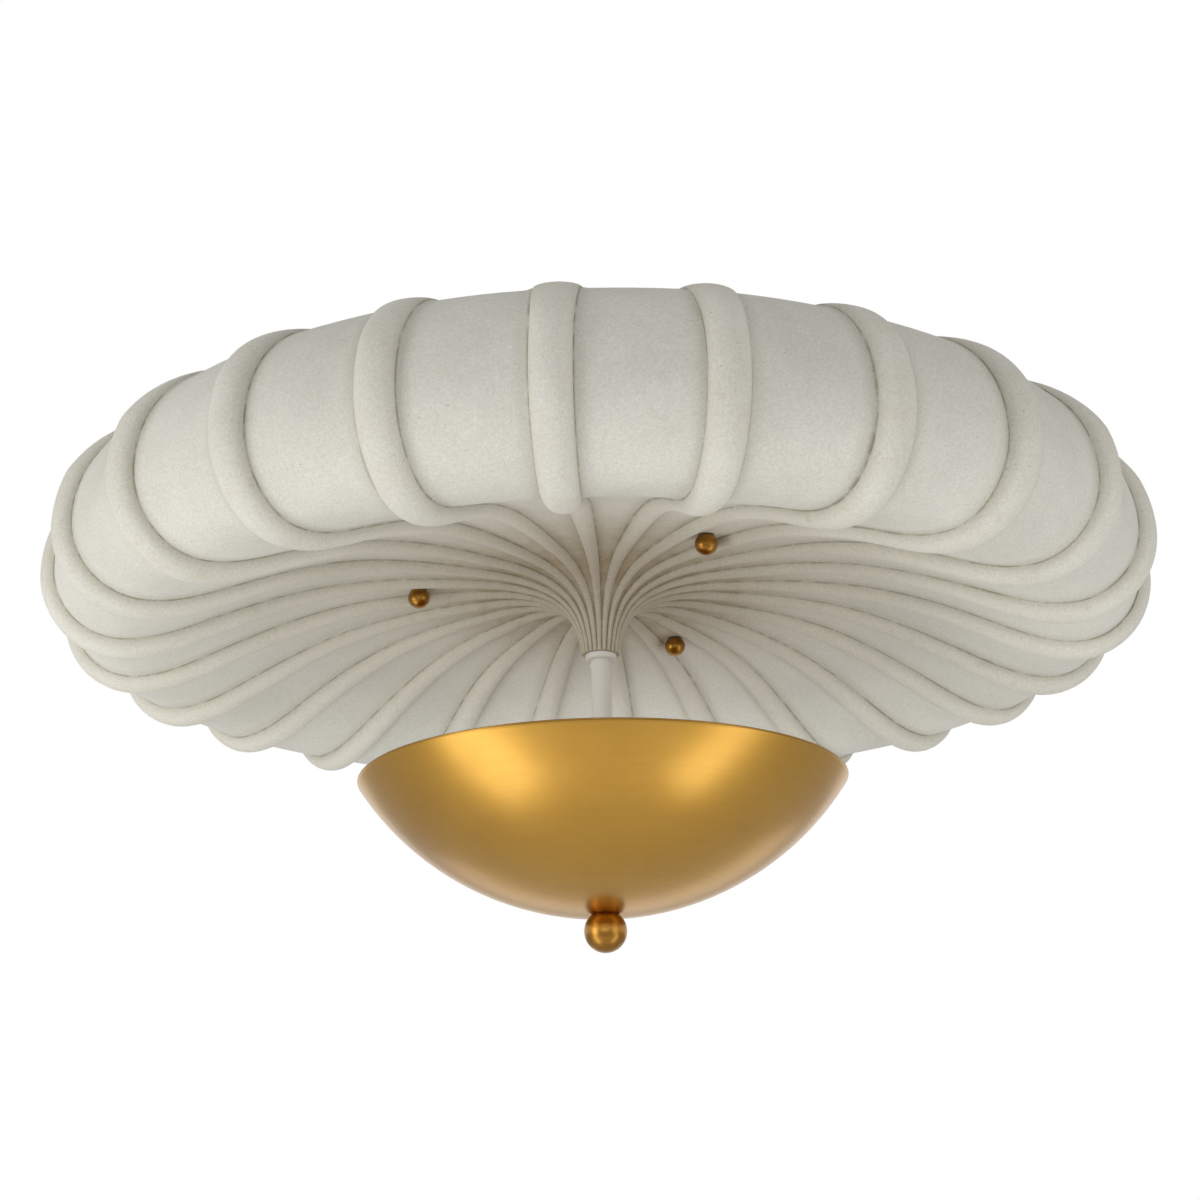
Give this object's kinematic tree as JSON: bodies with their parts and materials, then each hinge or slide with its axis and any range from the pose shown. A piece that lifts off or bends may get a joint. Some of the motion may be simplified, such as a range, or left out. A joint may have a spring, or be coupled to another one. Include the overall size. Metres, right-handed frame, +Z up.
{
  "type": "flush mount ceiling light",
  "caption": "Ribbed cast ring shade close to the ceiling, with an open brass bowl hung below it on a short white stem and a ball finial.",
  "frame": {"origin": "centre of the ceiling plate's upper face, where the light meets the ceiling", "axes": "+Z up into the ceiling, along the stem; one rib points to -Y, the front; the two box slots lie along X"},
  "size_m": [0.7102, 0.7102, 0.3097],
  "materials": {
    "shade_cast": "cast resin with a sandy stone-coloured coat, brown stain in the creases beside the ribs",
    "bowl_brass": "brushed antique brass, satin",
    "finial_brass": "polished aged brass, browner than the bowl",
    "stem_paint": "satin white paint",
    "plate_paint": "satin white paint",
    "zinc_steel": "bright zinc plate",
    "bush_plastic": "moulded black plastic",
    "washer_rubber": "dark fibre-filled rubber",
    "socket_ceramic": "unglazed white ceramic",
    "contact_brass": "plain stamped brass",
    "cap_metal": "spun bright metal",
    "bulb_glass": "clear thin glass",
    "filament": "pale lamp carrier with yellow rods"
  },
  "bodies": {
    "fixture": {"mounting_plate": "plate_paint", "wire_bush": "bush_plastic", "earth_screw": "zinc_steel", "plate_studs": "zinc_steel", "stud_lock_nuts": "zinc_steel", "hub_flange": "zinc_steel", "hub_screws": "zinc_steel", "centre_rod": "zinc_steel", "shade": "shade_cast", "stem_collar": "stem_paint", "stem_tube": "stem_paint", "stem_set_screw": "stem_paint", "stem_nipple": "zinc_steel", "stem_nut": "zinc_steel", "cluster_body": "stem_paint", "cluster_lid": "stem_paint", "lid_screws": "zinc_steel", "port_nipples": "zinc_steel", "port_nuts": "zinc_steel", "socket_cup_1": "stem_paint", "socket_liner_1": "socket_ceramic", "socket_shell_1": "contact_brass", "socket_contact_1": "contact_brass", "socket_cup_2": "stem_paint", "socket_liner_2": "socket_ceramic", "socket_shell_2": "contact_brass", "socket_contact_2": "contact_brass", "socket_cup_3": "stem_paint", "socket_liner_3": "socket_ceramic", "socket_shell_3": "contact_brass", "socket_contact_3": "contact_brass", "finial_stud": "zinc_steel", "finial_stud_nut": "zinc_steel", "bowl_stop": "zinc_steel"},
    "bowl": {"bowl": "bowl_brass", "bowl_gasket": "washer_rubber"},
    "finial": {"finial": "finial_brass"},
    "washer_1": {"nut_washer_1": "washer_rubber"},
    "ball_nut_1": {"ball_nut_1": "finial_brass"},
    "washer_2": {"nut_washer_2": "washer_rubber"},
    "ball_nut_2": {"ball_nut_2": "finial_brass"},
    "washer_3": {"nut_washer_3": "washer_rubber"},
    "ball_nut_3": {"ball_nut_3": "finial_brass"},
    "bulb_1": {"bulb_cap_1": "cap_metal", "bulb_glass_1": "bulb_glass", "bulb_filament_1": "filament"},
    "bulb_2": {"bulb_cap_2": "cap_metal", "bulb_glass_2": "bulb_glass", "bulb_filament_2": "filament"},
    "bulb_3": {"bulb_cap_3": "cap_metal", "bulb_glass_3": "bulb_glass", "bulb_filament_3": "filament"}
  },
  "joints": [
    {"name": "bowl_drop", "type": "slide", "parent": "fixture", "child": "bowl", "axis": [0, 0, -1], "range_m": [0, 0.01]},
    {"name": "finial_turn", "type": "hinge", "parent": "bowl", "child": "finial", "pos_m": [0, 0, -0.2963], "axis": [0, 0, -1], "range_deg": [0, 3600]},
    {"name": "washer_1_drop", "type": "slide", "parent": "fixture", "child": "washer_1", "axis": [0, 0, -1], "range_m": [0, 0.0064]},
    {"name": "ball_nut_1_turn", "type": "hinge", "parent": "washer_1", "child": "ball_nut_1", "pos_m": [0.07183, -0.09362, -0.0779], "axis": [0, 0, -1], "range_deg": [0, 2880]},
    {"name": "washer_2_drop", "type": "slide", "parent": "fixture", "child": "washer_2", "axis": [0, 0, -1], "range_m": [0, 0.0064]},
    {"name": "ball_nut_2_turn", "type": "hinge", "parent": "washer_2", "child": "ball_nut_2", "pos_m": [0.04516, 0.10902, -0.0779], "axis": [0, 0, -1], "range_deg": [0, 2880]},
    {"name": "washer_3_drop", "type": "slide", "parent": "fixture", "child": "washer_3", "axis": [0, 0, -1], "range_m": [0, 0.0064]},
    {"name": "ball_nut_3_turn", "type": "hinge", "parent": "washer_3", "child": "ball_nut_3", "pos_m": [-0.11699, -0.0154, -0.0779], "axis": [0, 0, -1], "range_deg": [0, 2880]},
    {"name": "bulb_1_draw", "type": "slide", "parent": "fixture", "child": "bulb_1", "axis": [0, 0.9272, 0.3746], "range_m": [0, 0.02]},
    {"name": "bulb_2_draw", "type": "slide", "parent": "fixture", "child": "bulb_2", "axis": [-0.803, -0.4636, 0.3746], "range_m": [0, 0.02]},
    {"name": "bulb_3_draw", "type": "slide", "parent": "fixture", "child": "bulb_3", "axis": [0.803, -0.4636, 0.3746], "range_m": [0, 0.02]}
  ],
  "couplings": [
    {"joint": "finial_turn", "follows": "bowl_drop", "rad_per_m": 6283.2},
    {"joint": "washer_1_drop", "follows": "ball_nut_1_turn", "m_per_rad": 0.00012732},
    {"joint": "washer_2_drop", "follows": "ball_nut_2_turn", "m_per_rad": 0.00012732},
    {"joint": "washer_3_drop", "follows": "ball_nut_3_turn", "m_per_rad": 0.00012732}
  ]
}
